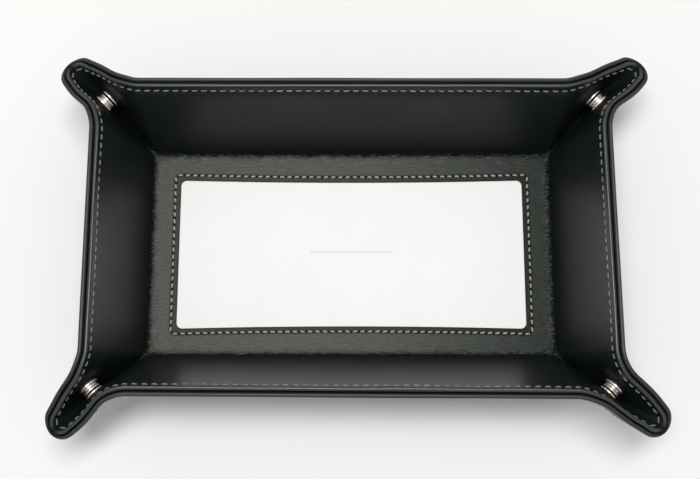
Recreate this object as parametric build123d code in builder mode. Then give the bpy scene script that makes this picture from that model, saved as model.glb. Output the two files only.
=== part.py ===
from build123d import *
from math import acos, atan2, cos, hypot, pi, radians, sin, sqrt, tan
import os

# Snap-corner valet tray: one turned-edge leather sheet over boards, folded up
# on four sides, its corners pinched into ears that press studs hold.
# Lengths are in millimetres. +X runs along the tray, +Z up from the table.

# Sheet and folds
floor_length = 202.0
floor_width = 102.0
wall_slant = 51.5  # fold to rim, along the wall
wall_angle = 66.0  # degrees from the table
fold_travel = 61.0  # degrees from snapped up to spread out, where the stud caps near the table
throat_angle = 13.5  # degrees from the wall's square end to the ear fold
throat_radius = 15.0  # rounding of the fold from wall to ear
sheet_corner_radius = 12.0
keel_reach = 3.2  # leather wrapped below the inside of the ear crease
ear_foot = 3.0  # free start of the ear, along its crease

# Layers
skin_thickness = 1.2
board_thickness = 2.0
floor_board_thickness = 1.5
panel_thickness = 0.5
edge_bevel = 0.8  # of the turned edge of each layer

# Boards, window and its white panel
hem_width = 8.0  # board edge to rim
fold_margin = 4.0  # board edge to floor fold
throat_margin = 4.0  # board edge to the start of the throat bend
window_length = 176.0
window_width = 77.0
window_corner_radius = 2.6
window_bevel = 0.5
panel_lap = 6.0  # panel hidden under the window frame

# Press studs
stud_along_crease = 40.0
stud_above_crease = 11.0
inner_seat_sink = 0.15
outer_seat_sink = 0.5
socket_radius = 5.0
socket_rim_height = 1.1
socket_waist_radius = 4.1
socket_mouth_radius = 2.35
socket_depth = 2.9
stud_flange_radius = 4.8
stud_flange_thickness = 1.1
stud_neck_radius = 1.45
stud_head_radius = 1.75
stud_head_height = 1.1
stud_length = 2.6  # from the flange face to the tip
barrel_radius = 2.0
cap_radius = 5.6
cap_crown_radius = 3.4
cap_height = 1.7
cap_edge = 0.7
post_radius = 4.6
post_crown_radius = 3.2
post_height = 0.9
post_edge = 0.4

# Clearances
fold_gap = 0.3  # between neighbours that turn on a fold
ear_gap = 0.3  # between the two halves of an ear
board_gap = 0.2
bore_gap = 0.15
stud_gap = 0.7  # face of the socket to the flange of the stud
overrun = 10.0

half_length = floor_length / 2
half_width = floor_width / 2
layer = skin_thickness + board_thickness / 2
sheet = 2 * layer
fold_angle = radians(wall_angle)
throat = radians(throat_angle)
mitre_share = tan(fold_angle / 2)
web_reach = floor_length + wall_slant
up = Vector(0, 0, 1)


class Corner:
    """Directions at a floor corner, from the wall that leans out and whose fold runs to that end."""

    def __init__(self, out, to_end, half_across, half_fold):
        self.to_end = to_end
        self.middle = out * half_across + up * sheet
        self.point = self.middle + to_end * half_fold
        self.half_fold = half_fold
        self.rise = out * cos(fold_angle) + up * sin(fold_angle)
        self.face = out * sin(fold_angle) - up * cos(fold_angle)
        self.fold_line = self.rise * cos(throat) + to_end * sin(throat)
        diagonal = (out + to_end) * (1 / sqrt(2))
        along_share = (cos(throat) * cos(fold_angle) + sin(throat)) / sqrt(2)
        up_share = cos(throat) * sin(fold_angle)
        turn_share = cos(pi / 4 - throat) / hypot(along_share, up_share)
        crease_rise = atan2(up_share, along_share) - acos(turn_share)
        self.side = (out - to_end) * (1 / sqrt(2))
        self.crease = diagonal * cos(crease_rise) + up * sin(crease_rise)
        self.over = up * cos(crease_rise) - diagonal * sin(crease_rise)
        self.ear_face = self.crease.cross(self.fold_line).normalized()
        self.ear_up = self.ear_face.cross(self.crease)
        self.lean = acos(self.ear_face.dot(self.side))
        self.turn = acos(self.face.dot(self.ear_face))
        self.stud = self.point + self.crease * stud_along_crease + self.over * stud_above_crease


right = Corner(Vector(1, 0, 0), Vector(0, 1, 0), half_length, half_width)
back = Corner(Vector(0, 1, 0), Vector(-1, 0, 0), half_width, half_length)

# Shape of the fold from wall to ear, and of the ear's keel
lean = right.lean
half_turn = right.turn / 2
bend_start = throat_radius * tan(half_turn)
bend_end = half_turn - fold_gap / 2 / throat_radius
crease_length = sqrt(2) * wall_slant - (sqrt(2) - 1) * sheet_corner_radius
keel_shift = (keel_reach - sheet) / (1 - sin(lean))
keel_radius = keel_reach - keel_shift
keel_side = -keel_shift * cos(lean)
keel_depth = keel_shift * sin(lean)

# Where the press studs seat, measured from the middle of the ear
inner_seat = stud_above_crease * tan(lean) + inner_seat_sink
outer_seat = stud_above_crease * tan(lean) + sheet / cos(lean) - outer_seat_sink
socket_face = stud_flange_thickness + stud_gap - inner_seat
stud_face = inner_seat - stud_flange_thickness

os.makedirs("parts", exist_ok=True)


def keep(name, piece):
    """Names a finished piece and writes it."""
    piece.label = name
    export_step(piece, f"parts/{name}.step")


def on_bend(depth, angle):
    """Point on the throat's rounding, at a depth below the lining's face."""
    radius = throat_radius - depth
    return (-bend_start + radius * sin(angle), throat_radius - radius * cos(angle))


def on_keel(depth, share):
    """Point on the keel's round, from the flat of the ear (0) to the middle of the fold (1)."""
    radius = keel_radius - sheet + depth
    angle = share * (pi / 2 - lean)
    return (keel_side - radius * sin(angle), keel_depth + radius * cos(angle))


def web(section, near, far):
    """One layer of the sheet, flat, whose end turns away by half of the throat."""
    with BuildPart() as block:
        with BuildSketch(section):
            with BuildLine():
                Line((-web_reach, near), (-bend_start, near))
                ThreePointArc((-bend_start, near), on_bend(near, bend_end / 2), on_bend(near, bend_end))
                Line(on_bend(near, bend_end), on_bend(far, bend_end))
                ThreePointArc(on_bend(far, bend_end), on_bend(far, bend_end / 2), (-bend_start, far))
                Line((-bend_start, far), (-web_reach, far))
                Line((-web_reach, far), (-web_reach, near))
            make_face()
        extrude(amount=web_reach, both=True)
    return block.part


def board_outline(corner, gap):
    """Half outline of a wall's board, from the wall's middle to the throat."""
    foot = fold_margin - gap
    top = wall_slant - hem_width + gap
    end = corner.half_fold - (bend_start + throat_margin) / cos(throat) + gap
    return [(0, foot), (end + foot * tan(throat), foot), (end + top * tan(throat), top), (0, top)]


def wall_layer(corner, middle_plane, near, far, pocket_start, pocket_end):
    """Cover or lining of one wall, with the pocket for half of its board."""
    fold_section = Plane(corner.point, x_dir=corner.fold_line.cross(corner.face), z_dir=-corner.fold_line)
    flap_section = Plane(corner.middle, x_dir=corner.rise, z_dir=corner.to_end)
    pocket_plane = Plane(corner.middle + corner.face * pocket_start, x_dir=corner.to_end, z_dir=corner.face)
    foot = fold_gap / 2 - sheet * mitre_share
    lay = tan(fold_angle - radians(fold_travel))
    with BuildPart() as wall:
        add(web(fold_section, near, far))
        with BuildSketch(flap_section):
            with BuildLine():
                Polyline(
                    (foot, sheet),
                    (fold_gap / 2 + overrun * mitre_share, -overrun),
                    (wall_slant, -overrun),
                    (wall_slant, sheet + (wall_slant - foot) * lay),
                    close=True,
                )
            make_face()
        extrude(amount=web_reach, mode=Mode.INTERSECT)
        with BuildSketch(pocket_plane):
            with BuildLine():
                Polyline(*board_outline(corner, board_gap), close=True)
            make_face()
        extrude(amount=pocket_end - pocket_start, mode=Mode.SUBTRACT)
        mirror(about=middle_plane)
        rim = wall.faces().sort_by(Axis(corner.middle, corner.rise))[-1]
        chamfer(rim.edges().sort_by(SortBy.LENGTH)[2:], length=edge_bevel)
    return wall.part


def wall_board(corner, middle_plane):
    """Stiffener board of one wall."""
    board_plane = Plane(corner.middle + corner.face * skin_thickness, x_dir=corner.to_end, z_dir=corner.face)
    with BuildPart() as board:
        with BuildSketch(board_plane):
            with BuildLine():
                Polyline(*board_outline(corner, 0), close=True)
            make_face()
        extrude(amount=board_thickness)
        mirror(about=middle_plane)
    return board.part


def ear_layer(corner, near, far):
    """Cover or lining of one half of an ear, with its share of the keel."""
    toward_wall = corner.ear_face.cross(corner.fold_line)
    fold_section = Plane(corner.point, x_dir=toward_wall, z_dir=corner.fold_line)
    keel_section = Plane(corner.point, x_dir=corner.ear_up, z_dir=corner.crease)
    outline_plane = Plane(
        corner.point - corner.ear_face * overrun, x_dir=corner.crease, z_dir=corner.ear_face
    )
    seam_x, seam_y = on_bend(near, bend_end)
    seam_plane = Plane(
        corner.point + toward_wall * seam_x + corner.ear_face * seam_y,
        z_dir=toward_wall * -cos(bend_end) - corner.ear_face * sin(bend_end),
    )
    middle_plane = Plane(corner.point + corner.side * (ear_gap / 2), z_dir=corner.side)
    rim_reach = sqrt(2) * wall_slant
    corner_centre = sqrt(2) * (wall_slant - sheet_corner_radius)
    tangent = sheet_corner_radius / sqrt(2)
    with BuildPart() as ear:
        add(web(fold_section, near, far))
        with BuildSketch(keel_section):
            with BuildLine():
                Polyline(
                    (keel_side, -overrun),
                    (web_reach, -overrun),
                    (web_reach, sheet + overrun),
                    (keel_side, sheet + overrun),
                    close=True,
                )
            make_face()
        extrude(amount=web_reach, mode=Mode.INTERSECT)
        with BuildSketch(keel_section):
            with BuildLine():
                if near > 0:
                    ThreePointArc(on_keel(near, 0), on_keel(near, 1 / 2), on_keel(near, 1))
                    Polyline(on_keel(near, 1), on_keel(far, 1))
                    Polyline(on_keel(far, 0), on_keel(near, 0))
                else:
                    Polyline((0, 0), on_keel(far, 1))
                    Polyline(on_keel(far, 0), (keel_side, 0), (0, 0))
                ThreePointArc(on_keel(far, 1), on_keel(far, 1 / 2), on_keel(far, 0))
            make_face()
        extrude(amount=web_reach)
        with BuildSketch(outline_plane):
            with BuildLine():
                nose = (crease_length, 0)
                turn = (corner_centre + tangent, tangent)
                on_turn = (
                    corner_centre + sheet_corner_radius * cos(pi / 8),
                    sheet_corner_radius * sin(pi / 8),
                )
                ThreePointArc(nose, on_turn, turn)
                Polyline(
                    turn,
                    (ear_foot, rim_reach - ear_foot),
                    (ear_foot, -sheet),
                    (crease_length, -sheet),
                    nose,
                )
            make_face()
        extrude(amount=2 * overrun + sheet, mode=Mode.INTERSECT)
        split(bisect_by=middle_plane, keep=Keep.TOP)
        split(bisect_by=seam_plane, keep=Keep.TOP)
        with BuildSketch(Plane(corner.stud, z_dir=corner.side)):
            Circle(barrel_radius + bore_gap)
        extrude(amount=web_reach, both=True, mode=Mode.SUBTRACT)
    return ear.part


def ear_lining(corner):
    """Lining of one half of an ear, with the flat seat of its press stud."""
    with BuildPart() as lining:
        add(ear_layer(corner, 0, layer))
        with BuildSketch(Plane(corner.stud + corner.side * inner_seat, z_dir=-corner.side)):
            Circle(socket_radius + bore_gap)
        extrude(amount=overrun, mode=Mode.SUBTRACT)
    return lining.part


def ear_cover(corner):
    """Outer skin of one half of an ear, with the flat seat of the cap."""
    with BuildPart() as cover:
        add(ear_layer(corner, layer, sheet))
        with BuildSketch(Plane(corner.stud + corner.side * outer_seat, z_dir=corner.side)):
            Circle(cap_radius + bore_gap)
        extrude(amount=overrun, mode=Mode.SUBTRACT)
    return cover.part


def stud_section(corner):
    """Section through the press stud's axis: x from the axis, y outward through the corner's own ear."""
    return Plane(corner.stud, x_dir=corner.crease, z_dir=-corner.over)


def socket(corner):
    """Spring socket, from its seat on the lining to past the middle of the ear."""
    rim = inner_seat - socket_rim_height
    with BuildPart() as piece:
        with BuildSketch(stud_section(corner)):
            with BuildLine():
                Polyline(
                    (0, inner_seat),
                    (socket_radius, inner_seat),
                    (socket_radius, rim),
                    (socket_waist_radius, rim),
                    (socket_waist_radius, socket_face),
                    (socket_mouth_radius, socket_face),
                    (socket_mouth_radius, socket_face + socket_depth),
                    (0, socket_face + socket_depth),
                    close=True,
                )
            make_face()
        revolve(axis=Axis(corner.stud, corner.side))
    return piece.part


def stud(corner):
    """Stud, whose head snaps into the socket on the other half of the ear."""
    tip = stud_face - stud_length
    neck_end = tip + stud_head_height
    with BuildPart() as piece:
        with BuildSketch(stud_section(corner)):
            with BuildLine():
                Polyline(
                    (0, tip),
                    (0, inner_seat),
                    (stud_flange_radius, inner_seat),
                    (stud_flange_radius, stud_face),
                    (stud_neck_radius, stud_face),
                    (stud_neck_radius, neck_end),
                    (stud_head_radius, neck_end),
                    (stud_head_radius, tip),
                    close=True,
                )
            make_face()
        revolve(axis=Axis(corner.stud, corner.side))
    return piece.part


def rivet(corner, radius, crown_radius, height, edge):
    """Crowned head outside the ear, with the barrel that goes through both layers to the seat inside."""
    with BuildPart() as piece:
        with BuildSketch(stud_section(corner)):
            with BuildLine():
                Polyline(
                    (0, outer_seat + height),
                    (0, inner_seat),
                    (barrel_radius, inner_seat),
                    (barrel_radius, outer_seat),
                    (radius, outer_seat),
                    (radius, outer_seat + edge),
                    (crown_radius, outer_seat + height),
                    close=True,
                )
            make_face()
        revolve(axis=Axis(corner.stud, corner.side))
    return piece.part


def mitred_slab(bottom, thickness):
    """Slab of the floor between two heights, its edges cut to the mitre of the wall folds."""
    inset = (bottom - sheet) * mitre_share + fold_gap / 2
    with BuildPart() as slab:
        with BuildSketch(Plane.XY.offset(bottom)):
            Rectangle(floor_length - 2 * inset, floor_width - 2 * inset)
        extrude(amount=thickness, taper=wall_angle / 2)
    return slab.part


# Floor: cover, board, white panel and the lining that frames it
board_length = floor_length - 2 * fold_margin
board_width = floor_width - 2 * fold_margin
panel_top = sheet - skin_thickness
panel_base = panel_top - panel_thickness
board_base = panel_base - floor_board_thickness
panel_length = window_length + 2 * panel_lap
panel_width = window_width + 2 * panel_lap

with BuildPart() as base_cover:
    add(mitred_slab(0, layer))
    with BuildSketch(Plane.XY.offset(board_base)):
        Rectangle(board_length + 2 * board_gap, board_width + 2 * board_gap)
    extrude(amount=sheet, mode=Mode.SUBTRACT)
keep("base_cover", base_cover.part)

with BuildPart() as base_board:
    with BuildSketch(Plane.XY.offset(board_base)):
        Rectangle(board_length, board_width)
    extrude(amount=floor_board_thickness)
keep("base_board", base_board.part)

with BuildPart() as window_panel:
    with BuildSketch(Plane.XY.offset(panel_base)):
        Rectangle(panel_length, panel_width)
    extrude(amount=panel_thickness)
keep("window_panel", window_panel.part)

with BuildPart() as floor_lining:
    add(mitred_slab(layer, layer))
    with BuildSketch(Plane.XY):
        Rectangle(board_length + 2 * board_gap, board_width + 2 * board_gap)
    extrude(amount=panel_base, mode=Mode.SUBTRACT)
    with BuildSketch(Plane.XY):
        Rectangle(panel_length + 2 * board_gap, panel_width + 2 * board_gap)
    extrude(amount=panel_top, mode=Mode.SUBTRACT)
    with BuildSketch(Plane.XY):
        RectangleRounded(window_length, window_width, window_corner_radius)
    extrude(amount=sheet, mode=Mode.SUBTRACT)
    window_edges = floor_lining.edges().filter_by_position(Axis.Z, sheet, sheet)
    chamfer(window_edges.sort_by(SortBy.DISTANCE)[:8], length=window_bevel)
keep("floor_lining", floor_lining.part)

# Walls, each with its twin across the tray
for corner, first, second, middle_plane, twin_plane in (
    (right, "right", "left", Plane.XZ, Plane.YZ),
    (back, "back", "front", Plane.YZ, Plane.XZ),
):
    pieces = {
        "cover": wall_layer(corner, middle_plane, layer, sheet, layer, sheet - skin_thickness),
        "board": wall_board(corner, middle_plane),
        "lining": wall_layer(corner, middle_plane, 0, layer, skin_thickness, layer),
    }
    for kind, piece in pieces.items():
        keep(f"{first}_wall_{kind}", piece)
        keep(f"{second}_wall_{kind}", mirror(piece, about=twin_plane))

# Ears: each half on its own wall, the socket's half on the end walls and the stud's on the long walls
for corner, half, here, across, metal in (
    (
        right, "side", "right", "left",
        {
            "snap_cap": rivet(right, cap_radius, cap_crown_radius, cap_height, cap_edge),
            "snap_socket": socket(right),
        },
    ),
    (
        back, "long", "left", "right",
        {
            "snap_post": rivet(back, post_radius, post_crown_radius, post_height, post_edge),
            "snap_stud": stud(back),
        },
    ),
):
    pieces = {
        f"ear_{half}_cover": ear_cover(corner),
        f"ear_{half}_lining": ear_lining(corner),
        **metal,
    }
    for kind, piece in pieces.items():
        twin = mirror(piece, about=Plane.YZ)
        keep(f"back_{here}_{kind}", piece)
        keep(f"back_{across}_{kind}", twin)
        keep(f"front_{here}_{kind}", mirror(piece, about=Plane.XZ))
        keep(f"front_{across}_{kind}", mirror(twin, about=Plane.XZ))
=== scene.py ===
from math import acos, atan2, cos, hypot, pi, radians, sin, sqrt, tan

import bmesh
import bpy
import numpy as np
from mathutils import Matrix, Vector


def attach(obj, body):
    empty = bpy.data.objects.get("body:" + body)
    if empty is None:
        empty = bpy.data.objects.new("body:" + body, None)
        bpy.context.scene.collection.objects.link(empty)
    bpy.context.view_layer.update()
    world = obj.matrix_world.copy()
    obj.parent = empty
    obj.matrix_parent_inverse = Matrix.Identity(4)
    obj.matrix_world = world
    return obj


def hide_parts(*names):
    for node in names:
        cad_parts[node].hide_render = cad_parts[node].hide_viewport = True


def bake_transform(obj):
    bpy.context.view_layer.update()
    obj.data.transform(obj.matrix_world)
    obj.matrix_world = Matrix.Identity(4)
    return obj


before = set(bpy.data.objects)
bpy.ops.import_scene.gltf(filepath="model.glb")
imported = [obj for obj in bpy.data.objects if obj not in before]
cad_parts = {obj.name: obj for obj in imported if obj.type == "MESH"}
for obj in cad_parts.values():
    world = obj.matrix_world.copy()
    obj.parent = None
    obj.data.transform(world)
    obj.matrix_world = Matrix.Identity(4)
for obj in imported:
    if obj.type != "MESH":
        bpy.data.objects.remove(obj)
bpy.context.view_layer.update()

mm = 0.001
up = np.array((0.0, 0.0, 1.0))
along_x = np.array((1.0, 0.0, 0.0))
along_y = np.array((0.0, 1.0, 0.0))

# Sheet: the flat pattern of the tray, with its floor, four walls and pinched corners
floor_half = np.array((101, 51)) * mm
wall_slant = 51.5 * mm
wall_angle = radians(66)
throat_angle = radians(13.5)
throat_bend = radians(12)  # half of the bend from wall to ear, seen from the floor corner
sheet_corner = 12 * mm
lining_top = 4.4 * mm  # height of the lining on the floor
lining_depth = 2.15 * mm
cover_start = 2.3 * mm
cover_depth = 4.4 * mm
plate_depth = 3.25 * mm
frame_skin = 1.15 * mm
rim_drop = 1.1 * mm  # how far the lining's rim stays short of the cover's
rim_gap = 0.3 * mm

# Pulls on the soft sheet, outward in x and y, at its back right, back left, front left and front right
wall_leans = np.array(((-1.4, 0.8), (-0.8, 1.2), (-1.1, -1.4), (-0.9, -0.1))) * mm  # of the rims
nose_shifts = np.array(((0.9, -6.1), (-2.8, -6.6), (-4.7, -1.1), (1.5, -3.5))) * mm  # of the ears' tips
nose_bend_start = 40 * mm  # place along the crease where a tip starts to bend
nose_crown = 1.3 * mm  # how far the middle of each tip stands out
nose_crown_width = 4 * mm
rim_flare = 0.7 * mm  # how far the back wall's hem stands out past the board
hem_width = 8 * mm

# Ears
keel_least_round = 0.05 * mm
keel_round_share = 0.020  # inside radius of an ear's crease, of the distance from the floor corner
nose_round = 2.6 * mm  # more of that radius, gained over the last stretch
nose_start = 34 * mm
keel_hold = radians(9)  # angle from the crease up to which its round is whole
keel_fade = radians(20)  # angle over which the round is lost
keel_depth = 3.2 * mm  # leather pressed thinner round the outside of an ear's crease
keel_width = 4 * mm
keel_start = 20 * mm  # place along the crease where it is wholly pressed
ear_bulge = 1.3 * mm

# Floor folds and window edge
fold_round = 2.2 * mm  # half width of the rounding at the floor folds
corner_round_share = 1.5  # more of that rounding at the floor corners
fold_samples = 40  # points whose mean place is the rounded one
fold_waver = 0.4 * mm  # how far the folds stray from their line
fold_waver_wave = 8 * mm
fold_waver_seeds = (5, 6)
window_dip = 0.35 * mm  # how far the seam pulls the window's edge down
window_strip = 2.6 * mm
seam_dip = 0.12 * mm
seam_dip_width = 0.6 * mm

# Unevenness of the leather
wall_swell = 0.13 * mm
wall_swell_wave = 60 * mm
wall_swell_start = 12 * mm
floor_swell = 0.05 * mm
floor_swell_wave = 9 * mm
floor_swell_gap = 1 * mm  # from the fold to its start
floor_swell_start = 3 * mm
wrinkle_height = 0.14 * mm
wrinkle_wave = 2.4 * mm
wrinkle_reach = 3 * mm
wrinkle_share = 0.3  # squeezed along the fold by this, so that wrinkles run along it
lining_seeds = (11, 23, 29)
cover_seeds = (71, 83, 89)
cover_relief_share = 0.6
relax_reach = 7 * mm  # from the floor corner, where the cover's points are wholly evened out
relax_fade = 9 * mm
relax_times = 30

# Marks that the materials read
floor_mark = 3 * mm  # width of the change from wall to floor
fold_mark = 1.8 * mm
# The floor corners' part of the fold mark, along which the leather gets painted highlight streaks
corner_crease_width = 3.5 * mm  # across the ear's crease, at the floor corner
corner_crease_reach = 6 * mm
crease_mark = 2.5 * mm
# Widths of the painted shade along the window's seam and on the strip by its edge
seam_mark = 0.9 * mm
edge_mark_share = 0.45
edge_start_share = 0.4  # of the strip, from the window's edge

# Lines of the sheet that the meshes follow
floor_inset = 6 * mm  # floor line to fold
floor_line_round = 4 * mm
wall_outset = 4.6 * mm  # fold to the first line on the wall
rim_inset = 5 * mm
window_half = np.array((88, 38.5)) * mm
window_round = 3 * mm
window_bow = 1.2 * mm  # how far the long sides of the window curve in
ear_overlap = 5.6 * mm  # how far the ear's pieces reach past their fold onto the wall

# Seams
rim_stitch_inset = 4.4 * mm
rim_stitch_pitches = np.array((4.2, 4.6)) * mm  # on the sides and on the long walls
window_stitch_outset = 2.7 * mm
window_stitch_pitch = 3.75 * mm
window_stitch_round = 2 * mm
stitch_share = 0.62  # of the pitch
window_stitch_share = 0.5
thread_radius = 0.38 * mm
window_thread_radius = 0.5 * mm
stitch_skew = 0.12 * mm
stitch_rise_share = 0.6  # middle of the thread over the leather, as a share of its radius
outer_stitch_rise_share = -0.35
stitch_sink_share = 1.9  # how far its ends dip, as a share of its radius
stitch_rings = 9
thread_sides = 8

# Press studs
stud_along_crease = 40 * mm
stud_above_crease = 11 * mm
stud_press = (5.3 * mm, 9.5 * mm)  # leather is flat within the first radius and free past the second
inner_seat_sink = 0.15 * mm
outer_seat_sink = 0.5 * mm
barrel_radius = 2 * mm
metal_round = 0.22 * mm
metal_round_steps = 5
edge_use_share = 0.45  # most of an edge that one rounding takes up
lathe_sides = 72
dome_steps = 10
socket_radius = 5 * mm
socket_rim_height = 1.1 * mm
socket_waist_radius = 3.95 * mm
socket_waist_drop = 0.1 * mm
socket_lip_radius = 4.35 * mm
socket_lip_height = 0.95 * mm
socket_lip_slope = 0.2 * mm
socket_mouth_radius = 2.35 * mm
socket_depth = 2.9 * mm
stud_gap = 0.7 * mm
stud_length = 2.6 * mm
stud_tip_radius = 1.4 * mm
stud_head_radius = 1.75 * mm
stud_head_height = 1.1 * mm
stud_widest_height = 0.44 * mm
stud_neck_radius = 1.45 * mm
stud_flange_radius = 4.8 * mm
stud_flange_thickness = 1.1 * mm
stud_foot = np.array(((1.45, -0.5), (2.3, -0.15), (2.9, 0.1), (4.3, -0.1), (4.8, 0.2))) * mm  # radius, place
stud_seat_inset = 0.1 * mm
cap_radius = 5.6 * mm
cap_height = 1.7 * mm
cap_brim_width = 0.5 * mm
cap_brim_height = 0.75 * mm
cap_edge_height = 0.45 * mm
cap_undercut = 0.2 * mm
post_radius = 4.6 * mm
post_crown_radius = 3.2 * mm
post_height = 0.9 * mm
post_edge_height = 0.35 * mm
post_dimple = np.array(((0, 0.35), (1.1, 0.4), (1.7, 0.9))) * mm  # radius, height over the seat

# Room
floor_colours = ((0.915, 0.92, 0.90), (0.94, 0.945, 0.925))
floor_reach = 4.0
floor_drop = 0.2 * mm
world_light = 0.45
lamp_place = (-0.07, 0.13, 1.6)
lamp_size = (1.0, 0.4)
lamp_power = 16.6
camera_place = (1.2 * mm, -96.0 * mm, 505.4 * mm)
camera_pitch = radians(11.63)
camera_roll = radians(0.21)
camera_lens = 51.49
camera_sensor = 36

# Columns of the mesh in a quarter of the sheet, and rows between its lines
side_columns = 34
fan_columns = 72
long_columns = 60
bead_rows = 7
window_rows = 16
fold_rows = 22
wall_rows = 30
hem_rows = 13
fan_power = 1.25  # how much the fan's columns close up towards the ear's crease


def unit(v):
    return v / np.linalg.norm(v, axis=-1, keepdims=True)


def eased(share):
    share = np.clip(share, 0, 1)
    return share * share * (3 - 2 * share)


def bell(distance, width):
    """1 at no distance, and next to 0 from twice the width on."""
    return np.exp(-((distance / width) ** 2))


def past_folds(flat):
    """How far flat points lie past the floor's folds, in x and in y."""
    return np.abs(flat) - floor_half


# Directions from a floor corner, for the wall that leans to +X and the half of the ear beside it
along_share = (cos(throat_angle) * cos(wall_angle) + sin(throat_angle)) / sqrt(2)
up_share = cos(throat_angle) * sin(wall_angle)
turn_share = cos(pi / 4 - throat_angle) / hypot(along_share, up_share)
crease_rise = atan2(up_share, along_share) - acos(turn_share)
rise = np.array((cos(wall_angle), 0, sin(wall_angle)))
fold_line = rise * cos(throat_angle) + along_y * sin(throat_angle)
diagonal = (along_x + along_y) / sqrt(2)
side_way = (along_x - along_y) / sqrt(2)
crease = diagonal * cos(crease_rise) + up * sin(crease_rise)
over = up * cos(crease_rise) - diagonal * sin(crease_rise)
ear_sweep = pi / 4 - throat_angle
wall_way = along_y * cos(throat_angle) - rise * sin(throat_angle)
ear_way = unit(crease - fold_line * cos(ear_sweep))
ear_lean = acos(np.dot(unit(np.cross(crease, fold_line)), side_way))
crease_length = sqrt(2) * wall_slant - (sqrt(2) - 1) * sheet_corner


def bend_directions(vertex, way_in, way_out, half_bend, share):
    """Directions along a round bend at a vertex of the outline that the sheet draws round a floor corner."""
    turn = acos(np.dot(way_in, way_out))
    reach = tan(half_bend)
    radius = reach / tan(turn / 2)
    normal = unit(way_out - way_in * cos(turn))
    angle = (share * turn)[:, None]
    offset = -reach * way_in + radius * (np.sin(angle) * way_in + (1 - np.cos(angle)) * normal)
    return unit(vertex + offset)


def corner_direction(angle):
    """Direction from the floor corner at an angle of the flat sheet, which is 0 up the +X wall's end."""
    folded = np.minimum(angle, pi / 2 - angle)
    out = np.zeros((len(angle), 3))
    wall = folded < throat_angle - throat_bend
    throat = ~wall & (folded < throat_angle + throat_bend)
    ear = ~(wall | throat)
    out[wall] = rise * np.cos(folded[wall])[:, None] + along_y * np.sin(folded[wall])[:, None]
    share = (folded[throat] - throat_angle + throat_bend) / (2 * throat_bend)
    out[throat] = bend_directions(fold_line, wall_way, ear_way, throat_bend, share)
    on_ear = (folded[ear] - throat_angle)[:, None]
    out[ear] = fold_line * np.cos(on_ear) + ear_way * np.sin(on_ear)
    far = angle > pi / 4
    out[far] = out[far][:, (1, 0, 2)]
    return out


def keel_shift(reach, angle):
    """How far an ear's round keel and bulging leaves set the sheet off its sharp crease."""
    nose = nose_round * eased((reach - nose_start) / (crease_length - nose_start))
    radius = keel_least_round + keel_round_share * reach + nose
    from_crease = np.abs(pi / 4 - angle)
    turn = np.minimum(reach * np.sin(from_crease) / radius, pi / 2 - ear_lean)
    sideways = radius * (np.sin(turn) - turn * sin(ear_lean))
    upward = radius * (1 - np.cos(turn) - turn * cos(ear_lean))
    hold = 1 - eased((from_crease - keel_hold) / keel_fade)
    bulge = ear_bulge * eased(reach / nose_start) * np.sin(4 * from_crease) ** 2
    sideways = (sideways * hold + bulge) * np.where(angle < pi / 4, 1, -1)
    return sideways[:, None] * side_way + (hold * upward)[:, None] * over


def wall_lean(flat):
    """How far the walls stand out from their drawn angle, from their folds to their rims."""
    share = np.maximum(past_folds(flat), 0) / wall_slant
    place = (np.clip(flat / floor_half, -1, 1) + 1) / 2
    right, back = place[:, 0:1], place[:, 1:2]
    behind = right * wall_leans[0] + (1 - right) * wall_leans[1]
    ahead = right * wall_leans[3] + (1 - right) * wall_leans[2]
    flare = rim_flare * eased((share[:, 1:2] - 1) * wall_slant / hem_width + 1) * (flat[:, 1:2] > 0)
    return share * (back * behind + (1 - back) * ahead) + flare * (0, 1)


def nose_shift(flat, corner, reach, angle):
    """How far each ear's tip is pulled aside, and its middle outward."""
    out = np.zeros_like(flat)
    from_crease = pi / 4 - angle
    share = eased((reach * np.cos(from_crease) - nose_bend_start) / (crease_length - nose_bend_start))
    right, behind = flat[corner, 0] > 0, flat[corner, 1] > 0
    number = np.where(behind, np.where(right, 0, 1), np.where(right, 3, 2))
    crown = nose_crown * bell(reach * np.sin(from_crease), nose_crown_width)
    out[corner] = share[:, None] * (nose_shifts[number] + crown[:, None] * diagonal[:2])
    return out


def folded_sheet(flat):
    """Where points of the flat sheet's lining lie when the tray is snapped up."""
    past = past_folds(flat)
    out = np.zeros((len(flat), 3))
    out[:, :2] = np.abs(flat)
    for axis, half in enumerate(floor_half):
        wall = (past[:, axis] > 0) & (past[:, 1 - axis] <= 0)
        out[wall, axis] = half + past[wall, axis] * cos(wall_angle)
        out[wall, 2] = past[wall, axis] * sin(wall_angle)
    corner = (past > 0).all(1)
    reach = np.hypot(past[corner, 0], past[corner, 1])
    angle = np.arctan2(past[corner, 1], past[corner, 0])
    out[corner] = reach[:, None] * corner_direction(angle) + keel_shift(reach, angle)
    out[corner, :2] += floor_half
    out[:, 2] += lining_top
    out[:, :2] += wall_lean(flat) + nose_shift(flat, corner, reach, angle)
    out[:, :2] *= np.where(flat < 0, -1.0, 1.0)
    return out


def fold_distance(flat):
    """Distance of a flat point from the nearest floor fold."""
    past = past_folds(flat)
    outside = np.hypot(np.maximum(past[:, 0], 0), np.maximum(past[:, 1], 0))
    return np.where(outside > 0, outside, -past.max(1))


def smooth_sheet(flat):
    """The folded sheet with its floor folds rounded, as the mean over a small disc of the flat sheet."""
    distance = fold_distance(flat)
    from_corner = np.linalg.norm(past_folds(flat), axis=1)
    radius = fold_round * bell(distance, 3 * fold_round)
    radius *= 1 + corner_round_share * bell(from_corner, 3 * fold_round)
    waver = fold_waver * bell(distance, 2 * fold_round) * (1 - bell(from_corner, 2 * fold_round))
    sway = np.stack([ripples(flat, fold_waver_wave, seed) for seed in fold_waver_seeds], 1)
    flat = flat + waver[:, None] * sway
    total = np.zeros((len(flat), 3))
    for k in range(fold_samples):
        reach = sqrt((k + 0.5) / fold_samples)
        turn = k * pi * (3 - sqrt(5))
        total += folded_sheet(flat + radius[:, None] * reach * np.array((cos(turn), sin(turn))))
    return total / fold_samples


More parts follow.
